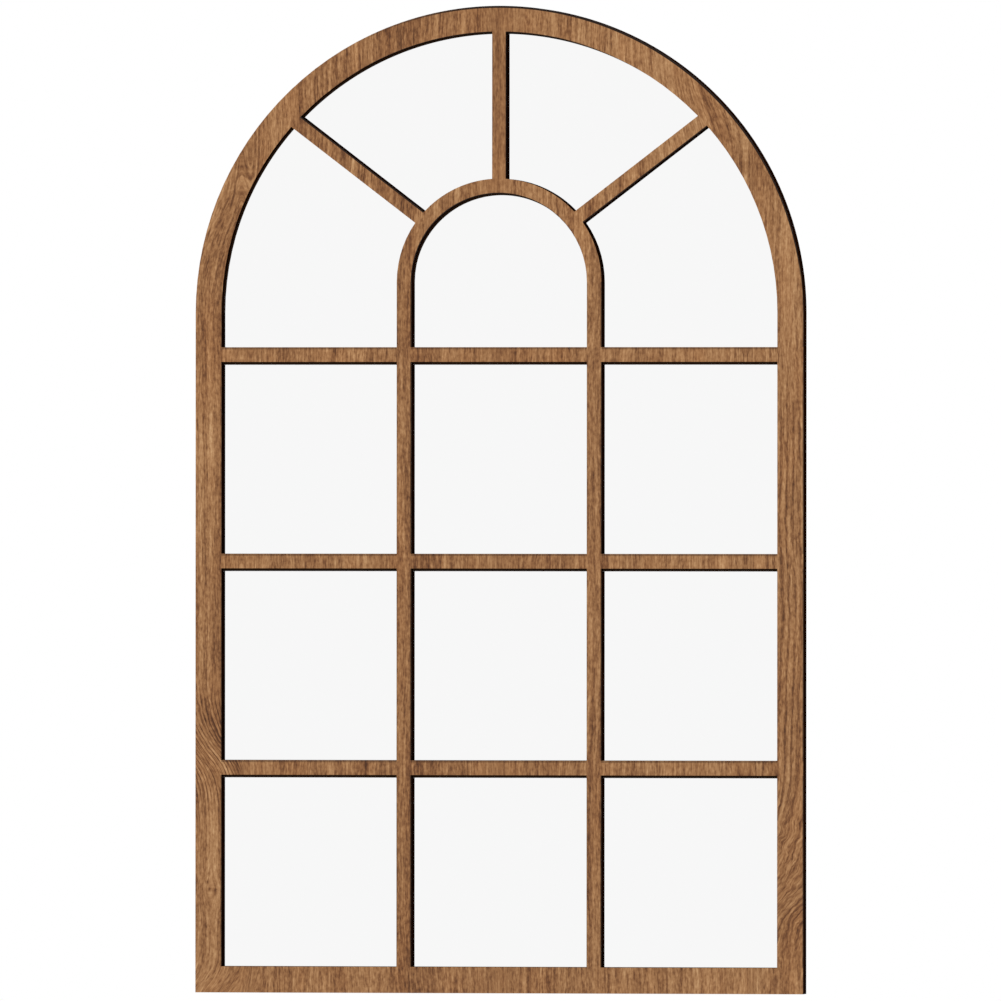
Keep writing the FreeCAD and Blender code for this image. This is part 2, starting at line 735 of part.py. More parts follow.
def make_ring(word, side):
    """A D ring of round wire that hangs from its straight side."""
    body = new_body(f"d_ring_{word}_body")
    path = new_sketch(body, depth="knuckle_depth")
    half = "ring_half_width"
    inset = "(ring_half_width - ring_corner)"
    bar = add_line(path, (f"-{inset}", 0), (inset, 0))
    right_corner = add_arc(path, inset, "-ring_corner", "ring_corner", 0, 90)
    right_arm = add_line(path, (half, "-ring_corner"), (half, "-ring_straight"))
    bow = add_arc(path, 0, "-ring_straight", half, 180, 360)
    left_arm = add_line(path, (f"-{half}", "-ring_straight"), (f"-{half}", "-ring_corner"))
    left_corner = add_arc(path, f"-{inset}", "-ring_corner", "ring_corner", 90, 180)
    for one, two in (((bar, 2), (right_corner, 2)), ((right_corner, 1), (right_arm, 1)),
                     ((right_arm, 2), (bow, 2)), ((bow, 1), (left_arm, 1)),
                     ((left_arm, 2), (left_corner, 2)), ((left_corner, 1), (bar, 1))):
        join(path, "Tangent", *one, *two)
    join(path, "Equal", right_corner, left_corner)
    join(path, "PointOnObject", bar, 1, -1)
    join(path, "Horizontal", bar)
    join(path, "PointOnObject", bow, 3, -2)
    fix(path, "Radius", right_corner, text="ring_corner")
    fix(path, "Radius", bow, text=half)
    fix(path, "DistanceY", -1, 1, bow, 3, text="-ring_straight")
    wire = new_sketch(body, plane="YZ_Plane")
    circle(wire, "-knuckle_depth", 0, "wire_diameter / 2")
    pipe = body.newObject("PartDesign::AdditivePipe", f"d_ring_{word}_pipe")
    pipe.Profile = wire
    pipe.Spine = path
    place(body, x=f"{side} * hanger_offset", z="hanger_height")
    name_subpart(body, f"d_ring_{word}")


def make_bumper(word, side):
    bumper = document.addObject("Part::Cone", f"bumper_{word}")
    bind(bumper, "Radius1", "bumper_tip_diameter / 2")
    bind(bumper, "Radius2", "bumper_diameter / 2")
    bind(bumper, "Height", "stand_off")
    bumper.Placement.Rotation = FreeCAD.Rotation(FreeCAD.Vector(1, 0, 0), 90)
    for axis, text in zip("xyz", (f"{side} * web_middle", "0", "bumper_height")):
        bind(bumper, f"Placement.Base.{axis}", text)
    return bumper


def check_document():
    """Stop if a feature failed, a cut removed nothing or a sub-part isn't a sound solid."""
    for thing in document.Objects:
        if {"Invalid", "Error"} & set(thing.State):
            raise RuntimeError(f"{thing.Label} failed: {thing.State}")
        before = {"PartDesign::Pocket": "BaseFeature", "Part::Cut": "Base"}.get(thing.TypeId)
        if before and thing.Shape.Volume >= getattr(thing, before).Shape.Volume:
            raise RuntimeError(f"{thing.Label} cut nothing")
    for thing in subparts:
        if thing.Shape.isNull() or not thing.Shape.isValid():
            raise RuntimeError(f"{thing.Label} has no sound shape")


def write_subparts():
    os.makedirs("parts", exist_ok=True)
    for thing in subparts:
        thing.Shape.exportStep(os.path.join("parts", f"{thing.Label}.step"))
        print(f"{thing.Label}: {len(thing.Shape.Solids)} solids, {thing.Shape.Volume:.1f} mm3")


make_straight_members()
make_arches()
make_pegs()
make_grille()
make_face_veneer()
make_mirror_pack()
for spot in button_spots():
    make_turn_button(*spot)
for side_word, side_sign in SIDES.items():
    make_hanger(side_word, side_sign)
    make_ring(side_word, side_sign)
make_screws()
name_subpart(group("bumper_group", [make_bumper(*side) for side in SIDES.items()]), "wall_bumpers")
document.recompute()
check_document()
write_subparts()
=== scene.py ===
"""Looks of the arched window mirror: walnut veneer, dark paint, mirror glass and its fittings.

Metres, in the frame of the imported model: X runs to the right, Z runs up, the mirror faces -Y and
the wall is the plane Y = 0.  Patterns and the places on the object are given in millimetres.
"""
import json
import math

import bmesh
import bpy
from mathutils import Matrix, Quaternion, Vector


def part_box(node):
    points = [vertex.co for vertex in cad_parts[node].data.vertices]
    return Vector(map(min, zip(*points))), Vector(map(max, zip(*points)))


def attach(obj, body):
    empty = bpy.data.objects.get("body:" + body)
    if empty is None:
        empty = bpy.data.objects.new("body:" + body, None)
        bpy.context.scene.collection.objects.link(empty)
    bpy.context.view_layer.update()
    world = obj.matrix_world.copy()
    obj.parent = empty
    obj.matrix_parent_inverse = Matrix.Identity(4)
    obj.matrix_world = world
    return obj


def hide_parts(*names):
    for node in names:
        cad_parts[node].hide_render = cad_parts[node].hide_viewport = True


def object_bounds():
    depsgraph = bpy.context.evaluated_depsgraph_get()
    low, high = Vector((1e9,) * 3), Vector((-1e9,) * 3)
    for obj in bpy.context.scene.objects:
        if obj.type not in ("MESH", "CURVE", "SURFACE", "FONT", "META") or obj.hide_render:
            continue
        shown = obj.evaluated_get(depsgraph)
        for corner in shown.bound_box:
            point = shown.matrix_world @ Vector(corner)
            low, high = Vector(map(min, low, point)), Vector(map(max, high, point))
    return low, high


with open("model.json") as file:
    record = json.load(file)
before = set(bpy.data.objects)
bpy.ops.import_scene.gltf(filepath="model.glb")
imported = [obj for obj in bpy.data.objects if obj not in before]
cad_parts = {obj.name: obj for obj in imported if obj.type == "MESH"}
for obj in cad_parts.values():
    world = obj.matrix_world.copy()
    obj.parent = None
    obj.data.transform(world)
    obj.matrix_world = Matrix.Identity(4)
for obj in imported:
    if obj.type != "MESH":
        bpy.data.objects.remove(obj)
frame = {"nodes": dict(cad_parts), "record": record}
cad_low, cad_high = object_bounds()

MM = 0.001
scene = bpy.context.scene
scene.view_settings.view_transform = "Standard"

# The photograph's view: a long lens, level with the mirror and a little to its right.
PHOTO_SIDE = 1001               # pixels
PHOTO_SCALE = 1.0062            # pixels to a millimetre, square to the view
VIEW_AZIMUTH = 8.1
VIEW_ELEVATION = 0.0
VIEW_ROLL = 0.03
VIEW_CENTRE = Vector((1.6, -31.0, 489.8)) * MM     # the point of the face at the picture's middle
LENS = 900
SENSOR = 36

# Studio.  Each lamp has a name, a place and a power.
ROOM_LIGHT = 0.74               # what matt surfaces receive from all round
FLOOR_HEIGHT = -1.6
FLOOR_REACH = 60
LAMP_SIZE = 2.2
LAMPS = (("key", (-1.9, -3.0, 2.6), 62), ("back", (2.2, 2.6, 2.2), 46))

# Places on the object, from its own pieces
FACE_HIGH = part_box("face_veneer")[1]
RIM_OUTER = FACE_HIGH.x / MM
SPRING = FACE_HIGH.z / MM - RIM_OUTER               # height of the outer arch's centre
BARS = [[corner.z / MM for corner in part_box(f"crossbar_{word}")]
        for word in ("lower", "middle", "upper")]
RIM_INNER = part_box("right_stile")[0].x / MM
MUNTIN_INNER, MUNTIN_OUTER = [corner.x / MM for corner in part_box("muntin_right")]
ARCH_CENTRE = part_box("muntin_right")[1].z / MM      # height of the inner arch's centre
SPOKE_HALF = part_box("spoke_centre")[1].x / MM
SPOKE_RISE = 3                                      # from the inner arch's centre up to
SPOKE_CENTRE = ARCH_CENTRE + SPOKE_RISE             # where the spokes' middle lines meet
SPOKE_TILT = math.radians(52.5)                     # of the outer spokes, from upright
RAIL_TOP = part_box("bottom_rail")[1].z / MM

BAR_DARK_LINE = 1.9                 # how far the dark line comes down the face from a crossbar's top
BAR_SHADE_LINE = 2.5               # how far the painted shade line comes down the mirror below a crossbar
# Dark lines on the face, and the painted shade lines on the mirror, along the arches end on the
# wood's own arcs, moved this far right and up
CROWN_DARK_LINE = (-0.68, -2.1)
SOFFIT_DARK_LINE = (0.15, 0.4)
INNER_DARK_LINE = (-0.4, 0.5)
INNER_SHADE_LINE = (1.2, -1.7)
OUTER_SHADE_LINE = (1.3, -1.6)
# Upright edges with a dark line on the face: place, how far in it comes and how strong it is
UPRIGHT_EDGES = ((-RIM_INNER, -0.6, 0.5), (-MUNTIN_INNER, -0.8, 0.8), (MUNTIN_OUTER, -0.6, 0.7),
                 (RIM_OUTER, -0.6, 0.5), (-MUNTIN_OUTER, 0.5, 0.3), (MUNTIN_INNER, 0.5, 0.3))

# Figure in the walnut: places across from the middle, and heights above the bottom edge
STILE_LIE = (246, 262)          # over these the lie of the grain changes to the stiles' own
STILE_TONE = (250, 264)         # and over these their lines and tone
SLANT_HEIGHT = 240              # leaning lines on the left stile
CORNER_HEIGHT = 8               # grain that turns in the lower left corner
UPPER_CURL, LOWER_CURL = 150, 92                    # on the right stile
LEFT_SHOULDER, RIGHT_SHOULDER = 770, 880            # leaning lines on the outer arch
KNOT_ACROSS, KNOT_HEIGHT = -289, 100
# Marks of the knot: place across, height, half width and half height
KNOT_SPECKS = ((-293, 109.5, 1.5, 2.4), (-290.5, 103.5, 1.5, 2.2), (-284.8, 101.5, 1.6, 4.5))
KNOT_HEART = (-289.3, 98.5, 2.6, 3.6)
KNOT_RING = (-293, 87, 9.5, 21)

# How far the fittings' sharp edges are rounded over, and in how many steps, by start of name
EASING = {"turn_button_": (0.35, 3), "hanger_left": (0.2, 2), "hanger_right": (0.2, 2),
          "button_screws": (0.12, 2), "hanger_screws": (0.12, 2), "wall_bumpers": (1.1, 5)}


# Node trees as arithmetic

def fill(tree, socket, value):
    """Link a field or a socket to a socket, or give it a plain value."""
    if isinstance(value, Field):
        value = value.socket
    if isinstance(value, bpy.types.NodeSocket):
        tree.links.new(value, socket)
    else:
        socket.default_value = value


def add(tree, kind, sockets=None, **settings):
    """A new node with its settings and sockets filled in."""
    made = tree.nodes.new(kind)
    for name, setting in settings.items():
        setattr(made, name, setting)
    for name, value in (sockets or {}).items():
        fill(tree, made.inputs[name], value)
    return made


class Field:
    """A number that changes over a surface, which can be calculated with."""

    def __init__(self, tree, socket):
        self.tree = tree
        self.socket = socket

    def math(self, operation, *values, clamp=False):
        made = add(self.tree, "ShaderNodeMath", operation=operation, use_clamp=clamp)
        for socket, value in zip(made.inputs, (self, *values)):
            fill(self.tree, socket, value)
        return Field(self.tree, made.outputs[0])

    def __add__(self, other):
        return self.math("ADD", other)

    def __sub__(self, other):
        return self.math("SUBTRACT", other)

    def __mul__(self, other):
        return self.math("MULTIPLY", other)

    def __truediv__(self, other):
        return self.math("DIVIDE", other)

    def __neg__(self):
        return self * -1

    def __abs__(self):
        return self.math("ABSOLUTE")

    def clamp(self):
        return self.math("ADD", 0, clamp=True)

    def flipped(self):
        """1 less the field."""
        return -self + 1

    def rise(self, low, high):
        """0 up to low, 1 from high, and smooth between them."""
        made = add(self.tree, "ShaderNodeMapRange", interpolation_type="SMOOTHSTEP")
        for socket, value in zip(made.inputs, (self, low, high, 0, 1)):
            fill(self.tree, socket, value)
        return Field(self.tree, made.outputs[0])

    def between(self, low, high, soft):
        """1 from low to high, fading out over soft."""
        return self.rise(low - soft, low) * (-self).rise(-high - soft, -high)

    def bell(self, middle, width):
        """A bell curve of height 1."""
        return (-((self - middle) / width).math("POWER", 2)).math("EXPONENT")

    def lean(self, middle, reach, slope):
        """A shift that changes by slope per unit near the middle, and levels off past reach."""
        return ((self - middle) / reach).math("TANH") * (reach * slope)


def total(fields):
    """The sum of some fields."""
    first, *rest = fields
    return sum(rest, first)


def point(tree, x, y, z):
    """A vector from three fields or numbers."""
    return add(tree, "ShaderNodeCombineXYZ", {"X": x, "Y": y, "Z": z}).outputs[0]


def noise(tree, vector, detail=2.0, roughness=0.5, distortion=0.0):
    """Smooth noise with a period of about one unit, from -1 to 1 about 0."""
    made = add(tree, "ShaderNodeTexNoise", {"Vector": vector, "Scale": 1.0, "Detail": detail,
                                            "Roughness": roughness, "Distortion": distortion})
    return (Field(tree, made.outputs[0]) - 0.5) * 2


def place_in_mm(tree):
    """Where the surface is on the object, in millimetres."""
    coordinates = add(tree, "ShaderNodeTexCoord").outputs["Object"]
    apart = add(tree, "ShaderNodeSeparateXYZ", {"Vector": coordinates})
    return [Field(tree, socket) / MM for socket in apart.outputs]


def facing(tree):
    """The surface's direction, as three fields."""
    direction = add(tree, "ShaderNodeTexCoord").outputs["Normal"]
    apart = add(tree, "ShaderNodeSeparateXYZ", {"Vector": direction})
    return [Field(tree, socket) for socket in apart.outputs]


def shade(red, green, blue):
    """A colour as a painter's chart gives it, 0 to 255, made linear."""
    def linear(part):
        part /= 255
        return part / 12.92 if part <= 0.04045 else ((part + 0.055) / 1.055) ** 2.4
    return (linear(red), linear(green), linear(blue), 1)


def blend(tree, amount, first, second, kind="MIX"):
    """Mix two colours."""
    made = add(tree, "ShaderNodeMix", data_type="RGBA", blend_type=kind)
    for socket, value in zip((made.inputs[0], made.inputs[6], made.inputs[7]),
                             (amount, first, second)):
        fill(tree, socket, value)
    return made.outputs[2]


def tones(tree, amount, stops):
    """A colour for each level of a field, given as level: colour."""
    made = add(tree, "ShaderNodeValToRGB", {"Fac": amount})
    ramp = made.color_ramp
    while len(ramp.elements) < len(stops):
        ramp.elements.new(1)
    for element, (level, colour) in zip(ramp.elements, stops.items()):
        element.position = level
        element.color = colour
    return made.outputs[0]


def new_group(name, inputs, outputs):
    """A node group with float inputs, a Vector input and the outputs that are named."""
    tree = bpy.data.node_groups.new(name, "ShaderNodeTree")
    tree.interface.new_socket(name="Vector", in_out="INPUT", socket_type="NodeSocketVector")
    for label, value in inputs.items():
        socket = tree.interface.new_socket(name=label, in_out="INPUT",
                                           socket_type="NodeSocketFloat")
        socket.default_value = value
    for label in outputs:
        tree.interface.new_socket(name=label, in_out="OUTPUT", socket_type="NodeSocketFloat")
    entry = add(tree, "NodeGroupInput")
    given = {socket.name: Field(tree, socket) for socket in entry.outputs if socket.name}
    return tree, given, add(tree, "NodeGroupOutput")


def use_group(tree, group, vector, **values):
    """Place a node group in a tree, and give back its outputs as fields by name."""
    made = add(tree, "ShaderNodeGroup", node_tree=group)
    fill(tree, made.inputs["Vector"], vector)
    for label, value in values.items():
        fill(tree, made.inputs[label], value)
    return {socket.name: Field(tree, socket) for socket in made.outputs}


# Effects that several finishes share

def make_grain_group():
    """Upright wood grain: bands, streaks, fibres and short open pores, in millimetres."""
    tree, given, out = new_group("upright_grain", {"Band": 9.0, "Streak": 2.6, "Fibre": 0.9},
                                 ("Band", "Streak", "Fibre", "Pore"))
    apart = add(tree, "ShaderNodeSeparateXYZ", {"Vector": given["Vector"]})
    across, depth, along = [Field(tree, socket) for socket in apart.outputs]
    made = {
        "Band": noise(tree, point(tree, across / given["Band"], depth / 40, along / 230), detail=3),
        "Streak": noise(tree, point(tree, across / given["Streak"], depth / 9, along / 30),
                        detail=3, roughness=0.6),
        "Fibre": noise(tree, point(tree, across / given["Fibre"], depth / 3, along / 8), detail=2),
        "Pore": noise(tree, point(tree, across / 0.55, depth / 0.8, along / 7),
                      detail=1).rise(0.34, 0.62),
    }
    for name, field in made.items():
        fill(tree, out.inputs[name], field)
    return tree


def make_wear_group():
    """Handling marks: soft smudges, fine scratches and specks of dust."""
    tree, given, out = new_group("handling_marks", {"Size": 18.0}, ("Smudge", "Scratch", "Speck"))
    apart = add(tree, "ShaderNodeSeparateXYZ", {"Vector": given["Vector"]})
    x, y, z = [Field(tree, socket) for socket in apart.outputs]
    size = given["Size"]
    scratch = noise(tree, point(tree, (x + z) / 0.35, y / 0.35, (x - z) / 26), detail=1)
    made = {
        "Smudge": noise(tree, point(tree, x / size, y / size, z / size), detail=4),
        "Scratch": scratch.rise(0.38, 0.6),
        "Speck": noise(tree, point(tree, x / 1.3, y / 1.3, z / 1.3), detail=1).rise(0.55, 0.7),
    }
    for name, field in made.items():
        fill(tree, out.inputs[name], field)
    return tree


grain_group = make_grain_group()
wear_group = make_wear_group()


def new_finish(name, **sockets):
    """A material with its shader; sockets with plain values are set on the shader itself."""
    material = bpy.data.materials.new(name)
    material.use_nodes = True
    tree = material.node_tree
    shader = tree.nodes["Principled BSDF"]
    for label, value in sockets.items():
        fill(tree, shader.inputs[label.replace("_", " ")], value)
    return material, tree, shader


def relief(tree, shader, height, depth_mm):
    """Raise the surface by depth_mm for each unit of a field of heights."""
    bump = add(tree, "ShaderNodeBump", {"Height": height, "Distance": depth_mm * MM})
    fill(tree, shader.inputs["Normal"], bump.outputs[0])


# Finishes

def past_arch(x, z, centre, radius, shift=(0, 0)):
    """How far a point lies outside an arch that has been moved by a shift."""
    shift_x, shift_z = shift
    across = x - shift_x
    up = z - (centre + shift_z)
    return (across * across + up * up).math("SQRT") - radius


def beside_spoke(x, z):
    """How far a point lies below the middle line of an outer spoke."""
    return abs(x) * math.cos(SPOKE_TILT) - (z - SPOKE_CENTRE) * math.sin(SPOKE_TILT)


def open_bays(x):
    """Where the crossbars run free, between the muntins and the stiles."""
    return abs(x).between(0, MUNTIN_INNER, 0.2) + abs(x).between(MUNTIN_OUTER, RIM_INNER, 0.2)


def edge_dark_lines(x, z):
    """Dark lines on the face along the crossbars' tops, the upright edges, the arches and the
    spokes.
    """
    bars = total([z.between(high - BAR_DARK_LINE, high + 1, 0.4) * 0.45 for _, high in BARS])
    off_bars = total([z.between(low, high, 0.2) for low, high in BARS]).flipped()
    off_rail = z.rise(RAIL_TOP, RAIL_TOP + 0.2)
    above_spring = z.rise(ARCH_CENTRE - 0.1, ARCH_CENTRE + 0.1)
    uprights = total([x.between(min(edge, edge + inward), max(edge, edge + inward), 0.5) * strength
                      for edge, inward, strength in UPRIGHT_EDGES])
    uprights = uprights * off_bars * off_rail * above_spring.flipped()
    crown = (past_arch(x, z, SPRING, RIM_OUTER, CROWN_DARK_LINE).rise(-0.15, 0.2)
             * z.rise(SPRING, SPRING + 60) * x.rise(-170, -20))
    beside = beside_spoke(x, z)
    clear = (abs(beside).rise(SPOKE_HALF - 0.2, SPOKE_HALF + 0.2)
             * abs(x).rise(SPOKE_HALF - 0.2, SPOKE_HALF + 0.2))
    soffit = (past_arch(x, z, SPRING, RIM_INNER, SOFFIT_DARK_LINE).between(-2, 0, 0.3)
              * above_spring * clear * x.between(-120, 60, 60))
    inner = past_arch(x, z, ARCH_CENTRE, MUNTIN_INNER, INNER_DARK_LINE).between(-2.5, 0, 0.3)
    fan = (past_arch(x, z, ARCH_CENTRE, MUNTIN_OUTER).rise(-0.1, 0.1)
           * (-past_arch(x, z, SPRING, RIM_INNER)).rise(-0.1, 0.1))
    spokes = ((beside + SPOKE_HALF).between(-0.5, 1.1, 0.3) * (-x).rise(20, 21)
              + (-beside + SPOKE_HALF).between(-0.5, 0.9, 0.3) * x.rise(20, 21)
              + (-x + SPOKE_HALF).between(-0.5, 0.4, 0.3) * x.rise(0, 1)) * fan
    return (bars * open_bays(x) + uprights + crown + soffit
            + (inner + spokes) * above_spring).clamp()


def mirror_shade_line(x, z):
    """A dark line painted on the mirror under the crossbars and under both arches: painted shade
    under them, standing in for their dark undersides and the reflection of these in the mirror.
    """
    bars = total([z.between(low - BAR_SHADE_LINE, low + 1, 0.5) for low, _ in BARS])
    inner = (past_arch(x, z, ARCH_CENTRE, MUNTIN_INNER, INNER_SHADE_LINE).between(0, 4, 0.2)
             * z.rise(ARCH_CENTRE, ARCH_CENTRE + 0.05))
    outer = (past_arch(x, z, SPRING, RIM_INNER, OUTER_SHADE_LINE).rise(-0.2, 0)
             * z.rise(SPRING, SPRING + 0.05))
    return (bars * open_bays(x) + inner + outer).clamp()


def grain_place(tree, x, z):
    """Sideways place of the grain: upright, with drift, a knot and figured spots on the stiles."""
    drift = noise(tree, point(tree, x / 95, 3.1, z / 270), detail=1) * 9
    ripple = noise(tree, point(tree, x / 17, 7.4, z / 38), detail=2) * 1.5
    on_left = (-x).rise(*STILE_LIE)
    on_right = x.rise(*STILE_LIE)
    slant = z.lean(SLANT_HEIGHT, 30, 0.75) * on_left
    corner = z.lean(CORNER_HEIGHT, 18, -0.8) * (-x).rise(225, 270)
    curl = (z.lean(UPPER_CURL, 55, -0.3) + z.lean(LOWER_CURL, 26, -0.8)) * on_right
    shoulders = (z.lean(LEFT_SHOULDER, 55, -0.3) * (-x).rise(60, 190)
                 + z.lean(RIGHT_SHOULDER, 40, 0.3) * x.rise(60, 190))
    waves = (noise(tree, point(tree, x / 13, 4.2, z / 11), detail=2)
             * z.between(70, 165, 30) * on_right * 4.5)
    near_knot = x.bell(KNOT_ACROSS, 8) * z.bell(KNOT_HEIGHT, 13)
    knot = (x - KNOT_ACROSS) * 1.3 * near_knot
    return x + drift + ripple + slant + corner + curl + shoulders + waves - knot


def knot_mark(tree, x, z):
    """A small knot low on the left stile: dark specks, a light heart and an oval ring below."""
    def spread(across, height, half_width, half_height):
        """Squared distance from a mark's centre, where 1 is its outline."""
        return (((x - across) / half_width).math("POWER", 2)
                + ((z - height) / half_height).math("POWER", 2))

    def spot(mark):
        return (-spread(*mark)).math("EXPONENT")

    ragged = noise(tree, point(tree, x / 2.4, 2.2, z / 3), detail=2) * 0.5 + 0.8
    specks = total([spot(speck) for speck in KNOT_SPECKS])
    oval = spread(*KNOT_RING).math("SQRT")
    rings = oval.bell(1, 0.09) + oval.bell(1.42, 0.1) * 0.5
    below = (-z).rise(-104, -84)
    return specks * ragged * -0.42 + spot(KNOT_HEART) * 0.24 - rings * ragged * below * 0.13


def make_walnut():
    """Walnut veneer, grain upright over the whole face, under satin lacquer."""
    material, tree, shader = new_finish("walnut_veneer", Specular_IOR_Level=0.3)
    x, y, z = place_in_mm(tree)
    side = abs(facing(tree)[1])
    across = grain_place(tree, x, z)
    grain = use_group(tree, grain_group, point(tree, across, y, z), Band=9, Streak=1.9, Fibre=0.85)
    cloud = noise(tree, point(tree, x / 60, 1.7, z / 150), detail=2)
    feather = noise(tree, point(tree, (x + z * 0.4) / 5, 5.2, (z - x * 0.4) / 14), detail=2)
    heart = (x.bell(-95, 34) * -0.13 + x.bell(0, 26) * -0.045 + x.bell(200, 70) * 0.05
             + x.rise(*STILE_TONE) * 0.045)
    calm = x.bell(0, 14) * -0.4 + 1.15

    def figure(period, mask):
        """Wavering lines along the grain, a period apart, where a mask lets them show."""
        line = (across * (2 * math.pi / period)
                + noise(tree, point(tree, x / 9, 9.3, z / 16), detail=3) * 2.2).math("SINE")
        return line.rise(0.0, 0.95) * mask

    stile_lines = figure(6.8, z.between(70, 560, 50) * x.rise(*STILE_TONE)) * -0.16
    slant_lines = figure(3.6, z.between(195, 285, 30) * (-x).rise(*STILE_TONE)) * -0.23
    knot = knot_mark(tree, x, z)
    stripes = noise(tree, point(tree, across / 3.6, 6.6, z / 420), detail=3, roughness=0.6)
    flecks = noise(tree, point(tree, across / 2.2, 8.2, z / 4.5), detail=2, roughness=0.6)
    grained = (grain["Band"] * 0.2 + grain["Streak"] * 0.32 + grain["Fibre"] * 0.3
               + stripes * 0.3 + flecks * 0.3)
    level = (grained * calm + cloud * 0.1 + feather * 0.1 + heart + stile_lines + slant_lines
             + knot + 0.5)
    wood = tones(tree, level, {0.05: shade(76, 43, 19), 0.28: shade(116, 74, 41),
                               0.5: shade(151, 106, 66), 0.72: shade(177, 132, 89),
                               0.98: shade(203, 162, 117)})
    red = noise(tree, point(tree, across / 22, 8.8, z / 120), detail=2).rise(-0.3, 0.6)
    wood = blend(tree, red * 0.55, wood, (1.0, 0.9, 0.8, 1), "MULTIPLY")
    wood = blend(tree, grain["Pore"] * 0.4, wood, shade(70, 40, 22))
    # dark lines along the face's edges, and the veneer's cut edges in the dark edge colour
    dark = (edge_dark_lines(x, z) + (-side).rise(-0.8, -0.5)).clamp() * z.rise(0.02, 0.1)
    fill(tree, shader.inputs["Base Color"], blend(tree, dark, wood, shade(28, 11, 3)))
    marks = use_group(tree, wear_group, point(tree, x, y, z), Size=45)
    fill(tree, shader.inputs["Roughness"],
         marks["Smudge"] * 0.05 + grain["Pore"] * 0.12 + dark * 0.25 + 0.48)
    relief(tree, shader, grain["Fibre"] * 0.3 + grain["Streak"] * 0.3 - grain["Pore"] * 0.8, 0.05)
    return material


def make_painted_core():
    """Near-black brown paint, brushed matt over the jointed wood."""
    material, tree, shader = new_finish("painted_core", Specular_IOR_Level=0.0)
    x, y, z = place_in_mm(tree)
    grain = use_group(tree, grain_group, point(tree, x + y, y, z), Band=14, Streak=3, Fibre=1)
    marks = use_group(tree, wear_group, point(tree, x, y, z), Size=30)
    level = grain["Streak"] * 0.35 + grain["Fibre"] * 0.2 + marks["Smudge"] * 0.35 + 0.45
    paint = tones(tree, level, {0.1: shade(12, 4, 1), 0.5: shade(24, 9, 3), 0.9: shade(48, 23, 12)})
    paint = blend(tree, marks["Scratch"] * 0.05, paint, shade(74, 46, 28))
    rubbed = (-z).rise(-0.05, 0.05) * (marks["Smudge"] * 0.2 + 0.75)
    bare = tones(tree, grain["Streak"] * 0.4 + 0.5, {0.2: shade(118, 76, 46),
                                                     0.8: shade(160, 116, 76)})
    fill(tree, shader.inputs["Base Color"], blend(tree, rubbed, paint, bare))
    fill(tree, shader.inputs["Roughness"], marks["Smudge"] * 0.08 + 0.8)
    relief(tree, shader, grain["Streak"] * 0.5 + grain["Fibre"] * 0.3 - grain["Pore"] * 0.5, 0.03)
    return material


def make_mirror():
    """Float glass silvered in front of its mass: bright face, green edge and painted back."""
    material, tree, shader = new_finish("silvered_glass", Specular_IOR_Level=0.08)
    x, y, z = place_in_mm(tree)
    front = (-facing(tree)[1]).rise(0.6, 0.95)
    back = facing(tree)[1].rise(0.6, 0.95)
    # painted shade on the mirror's face under the crossbars and arches, with the reflection of
    # their dark undersides
    painted_shade = mirror_shade_line(x, z) * front
    marks = use_group(tree, wear_group, point(tree, x, y, z), Size=70)
    edge = tones(tree, marks["Smudge"] * 0.5 + 0.5, {0.2: shade(86, 122, 108),
                                                     0.8: shade(118, 156, 140)})
    coat = tones(tree, marks["Smudge"] * 0.5 + 0.5, {0.2: shade(96, 100, 102),
                                                     0.8: shade(112, 116, 118)})
    rest = blend(tree, back, edge, coat)
    silver = blend(tree, marks["Speck"] * 0.02, (0.931, 0.931, 0.931, 1), (0.86, 0.87, 0.88, 1))
    glass = blend(tree, front, rest, silver)
    fill(tree, shader.inputs["Base Color"], blend(tree, painted_shade, glass, shade(46, 26, 11)))
    fill(tree, shader.inputs["Metallic"], front - painted_shade)
    fill(tree, shader.inputs["Roughness"],
         front.flipped() * 0.35 + marks["Smudge"].rise(0.2, 1) * 0.01 + painted_shade * 0.6)
    return material


def make_plain_wood(name, dark, light):
    """Bare sanded wood with its grain upright."""
    material, tree, shader = new_finish(name, Specular_IOR_Level=0.25)
    x, y, z = place_in_mm(tree)
    grain = use_group(tree, grain_group, point(tree, x, y, z), Band=6, Streak=1.6, Fibre=0.6)
    level = grain["Band"] * 0.35 + grain["Streak"] * 0.4 + 0.5
    wood = tones(tree, level, {0.15: dark, 0.85: light})
    wood = blend(tree, grain["Pore"] * 0.35, wood, dark)
    fill(tree, shader.inputs["Base Color"], wood)
    fill(tree, shader.inputs["Roughness"], grain["Fibre"] * 0.05 + 0.6)
    relief(tree, shader, grain["Streak"] * 0.5 - grain["Pore"] * 0.5, 0.05)
    return material


def make_pressed_board(name, dark, mid, light, fibre_mm, roughness):
    """Pressed fibre: felted flecks in three tones with soft mottling and handling marks."""
    material, tree, shader = new_finish(name, Specular_IOR_Level=0.15)
    x, y, z = place_in_mm(tree)
    felt = noise(tree, point(tree, x / fibre_mm, y / fibre_mm, z / (fibre_mm * 0.6)), detail=5,
                 roughness=0.7, distortion=1.2)
    tufts = noise(tree, point(tree, x / (fibre_mm * 6), y / 9, z / (fibre_mm * 4)), detail=4,
                  roughness=0.65, distortion=0.6)
    mottle = noise(tree, point(tree, x / 90, y / 45, z / 60), detail=5)
    marks = use_group(tree, wear_group, point(tree, x, y, z), Size=55)
    level = felt * 0.5 + tufts * 0.3 + mottle * 0.08 + 0.5
    board = tones(tree, level, {0.12: dark, 0.5: mid, 0.88: light})
    board = blend(tree, marks["Scratch"] * 0.12, board, light)
    board = blend(tree, marks["Speck"] * 0.3, board, dark)
    fill(tree, shader.inputs["Base Color"], board)
    fill(tree, shader.inputs["Roughness"], marks["Smudge"] * 0.06 + roughness)
    relief(tree, shader, felt * 0.5 + 0.5, 0.06)
    return material


